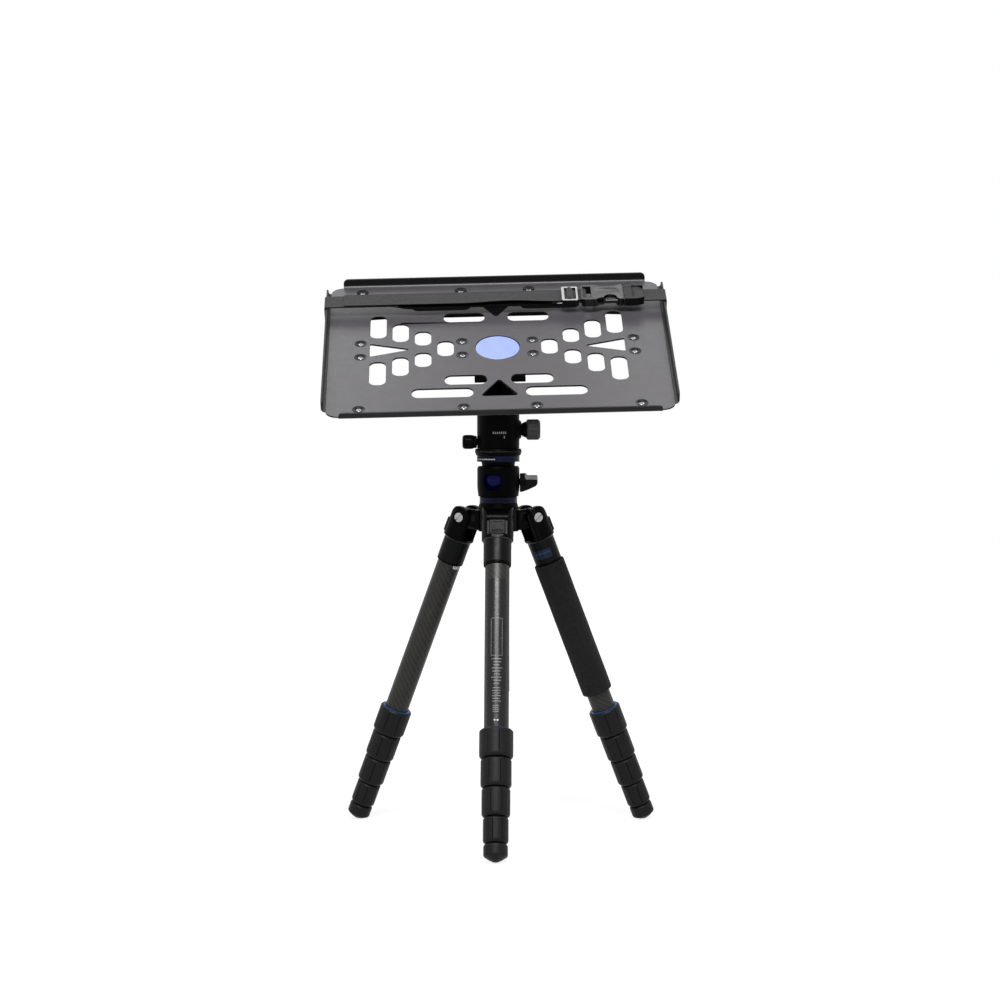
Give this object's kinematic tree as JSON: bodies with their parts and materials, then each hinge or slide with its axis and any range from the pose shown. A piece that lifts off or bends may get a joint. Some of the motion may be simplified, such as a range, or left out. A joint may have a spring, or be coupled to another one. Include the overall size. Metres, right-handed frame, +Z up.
{
  "type": "tripod laptop stand",
  "caption": "Folding tripod with a levelling base and ball head that holds a pierced, lipped laptop tray at an angle under a buckled strap.",
  "frame": {"origin": "on the floor, below the middle of the stand's box, behind the centre column's axis by the amount that the front foot reaches further than the rear feet and tray do", "axes": "+Z up; -Y the side the laptop's front edge and the front leg point to; +X to the right of someone facing the tray from -Y"},
  "size_m": [0.4108, 0.3254, 0.6613],
  "materials": {
    "cast_black": "satin black paint on a casting",
    "satin_black": "satin black anodised",
    "carbon_tube": "woven carbon fibre under a satin lacquer",
    "rubber": "matt black rubber",
    "foam": "matt black foam",
    "ball_metal": "fine matt grey anodised",
    "blue_anodised": "satin blue anodised",
    "disc_blue": "light blue anodised, fine brushed",
    "tray_grey": "satin dark grey powder coat",
    "webbing": "dark grey woven webbing",
    "nylon": "dark glossy moulded nylon"
  },
  "bodies": {
    "spider": {"spider": "cast_black"},
    "front_leg": {"front_leg_yoke": "cast_black", "front_upper_tube": "carbon_tube"},
    "front_latch": {"front_latch": "satin_black"},
    "front_lock_1": {"front_lock_1": "rubber"},
    "front_section_2": {"front_section_2": "carbon_tube"},
    "front_lock_2": {"front_lock_2": "rubber"},
    "front_section_3": {"front_section_3": "carbon_tube"},
    "front_lock_3": {"front_lock_3": "rubber"},
    "front_section_4": {"front_section_4": "carbon_tube"},
    "front_lock_4": {"front_lock_4": "rubber"},
    "front_section_5": {"front_section_5": "carbon_tube", "front_foot": "rubber"},
    "right_leg": {"right_leg_yoke": "cast_black", "right_upper_tube": "carbon_tube", "foam_grip": "foam"},
    "right_latch": {"right_latch": "satin_black"},
    "right_lock_1": {"right_lock_1": "rubber"},
    "right_section_2": {"right_section_2": "carbon_tube"},
    "right_lock_2": {"right_lock_2": "rubber"},
    "right_section_3": {"right_section_3": "carbon_tube"},
    "right_lock_3": {"right_lock_3": "rubber"},
    "right_section_4": {"right_section_4": "carbon_tube"},
    "right_lock_4": {"right_lock_4": "rubber"},
    "right_section_5": {"right_section_5": "carbon_tube", "right_foot": "rubber"},
    "left_leg": {"left_leg_yoke": "cast_black", "left_upper_tube": "carbon_tube"},
    "left_latch": {"left_latch": "satin_black"},
    "left_lock_1": {"left_lock_1": "rubber"},
    "left_section_2": {"left_section_2": "carbon_tube"},
    "left_lock_2": {"left_lock_2": "rubber"},
    "left_section_3": {"left_section_3": "carbon_tube"},
    "left_lock_3": {"left_lock_3": "rubber"},
    "left_section_4": {"left_section_4": "carbon_tube"},
    "left_lock_4": {"left_lock_4": "rubber"},
    "left_section_5": {"left_section_5": "carbon_tube", "left_foot": "rubber"},
    "column": {"column": "carbon_tube", "column_cap": "satin_black", "column_top": "satin_black", "level_ring": "blue_anodised", "level_barrel": "satin_black"},
    "column_collar": {"column_collar": "rubber"},
    "level_lever": {"level_lever": "satin_black"},
    "level_ball": {"level_ball": "blue_anodised", "pan_base": "satin_black"},
    "head": {"head_housing": "satin_black"},
    "lock_knob": {"lock_knob": "rubber"},
    "pan_knob": {"pan_knob": "rubber"},
    "ball": {"ball": "ball_metal"},
    "tray": {"clamp_body": "satin_black", "mount_plate": "disc_blue", "tray": "tray_grey", "strap": "webbing", "strap_slider": "nylon", "buckle_female": "nylon", "buckle_male": "nylon"},
    "clamp_jaw": {"clamp_jaw": "satin_black"},
    "clamp_knob": {"clamp_knob": "rubber"}
  },
  "joints": [
    {"name": "front_leg_fold", "type": "hinge", "parent": "spider", "child": "front_leg", "pos_m": [0.00021, 0.00456, 0.37029], "axis": [-1, 0, 0], "range_deg": [-23, 57]},
    {"name": "front_latch_pull", "type": "slide", "parent": "front_leg", "child": "front_latch", "axis": [0, -0.9198, 0.3923], "range_m": [0, 0.005], "stiffness_N_per_m": 200},
    {"name": "front_lock_1_twist", "type": "hinge", "parent": "front_leg", "child": "front_lock_1", "pos_m": [0.00021, -0.10058, 0.12378], "axis": [0, 0.3923, 0.9198], "range_deg": [0, 120]},
    {"name": "front_slide_2", "type": "slide", "parent": "front_leg", "child": "front_section_2", "axis": [0, -0.3923, -0.9198], "range_m": [0, 0.19]},
    {"name": "front_lock_2_twist", "type": "hinge", "parent": "front_section_2", "child": "front_lock_2", "pos_m": [0.00021, -0.11369, 0.09305], "axis": [0, 0.3923, 0.9198], "range_deg": [0, 120]},
    {"name": "front_slide_3", "type": "slide", "parent": "front_section_2", "child": "front_section_3", "axis": [0, -0.3923, -0.9198], "range_m": [0, 0.19]},
    {"name": "front_lock_3_twist", "type": "hinge", "parent": "front_section_3", "child": "front_lock_3", "pos_m": [0.00021, -0.12679, 0.06233], "axis": [0, 0.3923, 0.9198], "range_deg": [0, 120]},
    {"name": "front_slide_4", "type": "slide", "parent": "front_section_3", "child": "front_section_4", "axis": [0, -0.3923, -0.9198], "range_m": [0, 0.19]},
    {"name": "front_lock_4_twist", "type": "hinge", "parent": "front_section_4", "child": "front_lock_4", "pos_m": [0.00021, -0.1399, 0.03161], "axis": [0, 0.3923, 0.9198], "range_deg": [0, 120]},
    {"name": "front_slide_5", "type": "slide", "parent": "front_section_4", "child": "front_section_5", "axis": [0, -0.3923, -0.9198], "range_m": [0, 0.19]},
    {"name": "right_leg_fold", "type": "hinge", "parent": "spider", "child": "right_leg", "pos_m": [0.03918, 0.07206, 0.37029], "axis": [0.5, -0.866, 0], "range_deg": [-23, 57]},
    {"name": "right_latch_pull", "type": "slide", "parent": "right_leg", "child": "right_latch", "axis": [0.7966, 0.4599, 0.3923], "range_m": [0, 0.005], "stiffness_N_per_m": 200},
    {"name": "right_lock_1_twist", "type": "hinge", "parent": "right_leg", "child": "right_lock_1", "pos_m": [0.13024, 0.12463, 0.12378], "axis": [-0.3398, -0.1962, 0.9198], "range_deg": [0, 120]},
    {"name": "right_slide_2", "type": "slide", "parent": "right_leg", "child": "right_section_2", "axis": [0.3398, 0.1962, -0.9198], "range_m": [0, 0.19]},
    {"name": "right_lock_2_twist", "type": "hinge", "parent": "right_section_2", "child": "right_lock_2", "pos_m": [0.14159, 0.13119, 0.09305], "axis": [-0.3398, -0.1962, 0.9198], "range_deg": [0, 120]},
    {"name": "right_slide_3", "type": "slide", "parent": "right_section_2", "child": "right_section_3", "axis": [0.3398, 0.1962, -0.9198], "range_m": [0, 0.19]},
    {"name": "right_lock_3_twist", "type": "hinge", "parent": "right_section_3", "child": "right_lock_3", "pos_m": [0.15293, 0.13774, 0.06233], "axis": [-0.3398, -0.1962, 0.9198], "range_deg": [0, 120]},
    {"name": "right_slide_4", "type": "slide", "parent": "right_section_3", "child": "right_section_4", "axis": [0.3398, 0.1962, -0.9198], "range_m": [0, 0.19]},
    {"name": "right_lock_4_twist", "type": "hinge", "parent": "right_section_4", "child": "right_lock_4", "pos_m": [0.16428, 0.14429, 0.03161], "axis": [-0.3398, -0.1962, 0.9198], "range_deg": [0, 120]},
    {"name": "right_slide_5", "type": "slide", "parent": "right_section_4", "child": "right_section_5", "axis": [0.3398, 0.1962, -0.9198], "range_m": [0, 0.19]},
    {"name": "left_leg_fold", "type": "hinge", "parent": "spider", "child": "left_leg", "pos_m": [-0.03876, 0.07206, 0.37029], "axis": [0.5, 0.866, 0], "range_deg": [-23, 57]},
    {"name": "left_latch_pull", "type": "slide", "parent": "left_leg", "child": "left_latch", "axis": [-0.7966, 0.4599, 0.3923], "range_m": [0, 0.005], "stiffness_N_per_m": 200},
    {"name": "left_lock_1_twist", "type": "hinge", "parent": "left_leg", "child": "left_lock_1", "pos_m": [-0.12982, 0.12463, 0.12378], "axis": [0.3398, -0.1962, 0.9198], "range_deg": [0, 120]},
    {"name": "left_slide_2", "type": "slide", "parent": "left_leg", "child": "left_section_2", "axis": [-0.3398, 0.1962, -0.9198], "range_m": [0, 0.19]},
    {"name": "left_lock_2_twist", "type": "hinge", "parent": "left_section_2", "child": "left_lock_2", "pos_m": [-0.14117, 0.13119, 0.09305], "axis": [0.3398, -0.1962, 0.9198], "range_deg": [0, 120]},
    {"name": "left_slide_3", "type": "slide", "parent": "left_section_2", "child": "left_section_3", "axis": [-0.3398, 0.1962, -0.9198], "range_m": [0, 0.19]},
    {"name": "left_lock_3_twist", "type": "hinge", "parent": "left_section_3", "child": "left_lock_3", "pos_m": [-0.15252, 0.13774, 0.06233], "axis": [0.3398, -0.1962, 0.9198], "range_deg": [0, 120]},
    {"name": "left_slide_4", "type": "slide", "parent": "left_section_3", "child": "left_section_4", "axis": [-0.3398, 0.1962, -0.9198], "range_m": [0, 0.19]},
    {"name": "left_lock_4_twist", "type": "hinge", "parent": "left_section_4", "child": "left_lock_4", "pos_m": [-0.16387, 0.14429, 0.03161], "axis": [0.3398, -0.1962, 0.9198], "range_deg": [0, 120]},
    {"name": "left_slide_5", "type": "slide", "parent": "left_section_4", "child": "left_section_5", "axis": [-0.3398, 0.1962, -0.9198], "range_m": [0, 0.19]},
    {"name": "column_raise", "type": "slide", "parent": "spider", "child": "column", "axis": [0, 0, 1], "range_m": [0, 0.17]},
    {"name": "column_collar_twist", "type": "hinge", "parent": "spider", "child": "column_collar", "pos_m": [0.00021, 0.04956, 0.343], "axis": [0, 0, 1], "range_deg": [0, 120]},
    {"name": "level_lever_turn", "type": "hinge", "parent": "column", "child": "level_lever", "pos_m": [0.03521, 0.04956, 0.41239], "axis": [1, 0, 0], "range_deg": [-60, 60]},
    {"name": "level_tilt", "type": "hinge", "parent": "column", "child": "level_ball", "pos_m": [0.00021, 0.04956, 0.41599], "axis": [1, 0, 0], "range_deg": [-9, 9]},
    {"name": "head_pan", "type": "hinge", "parent": "level_ball", "child": "head", "pos_m": [0.00021, 0.04956, 0.45149], "axis": [0, 0, 1], "continuous": true},
    {"name": "lock_knob_turn", "type": "hinge", "parent": "head", "child": "lock_knob", "pos_m": [0.04016, 0.05156, 0.47339], "axis": [0.9987, 0.0501, 0], "continuous": true},
    {"name": "pan_knob_turn", "type": "hinge", "parent": "head", "child": "pan_knob", "pos_m": [-0.03175, 0.04796, 0.45909], "axis": [-0.9987, -0.0501, 0], "continuous": true},
    {"name": "head_pitch", "type": "hinge", "parent": "head", "child": "ball", "pos_m": [0.00021, 0.04956, 0.51819], "axis": [0.9987, 0.0501, 0], "range_deg": [-80, 15]},
    {"name": "head_roll", "type": "hinge", "parent": "ball", "child": "tray", "pos_m": [0.00021, 0.04956, 0.51819], "axis": [-0.0419, 0.8367, 0.5461], "range_deg": [-12, 12]},
    {"name": "clamp_jaw_slide", "type": "slide", "parent": "tray", "child": "clamp_jaw", "axis": [-0.9991, -0.0358, -0.0219], "range_m": [0, 0.004]},
    {"name": "clamp_knob_turn", "type": "hinge", "parent": "clamp_jaw", "child": "clamp_knob", "pos_m": [-0.03371, 0.02484, 0.55345], "axis": [-0.9991, -0.0358, -0.0219], "continuous": true}
  ]
}
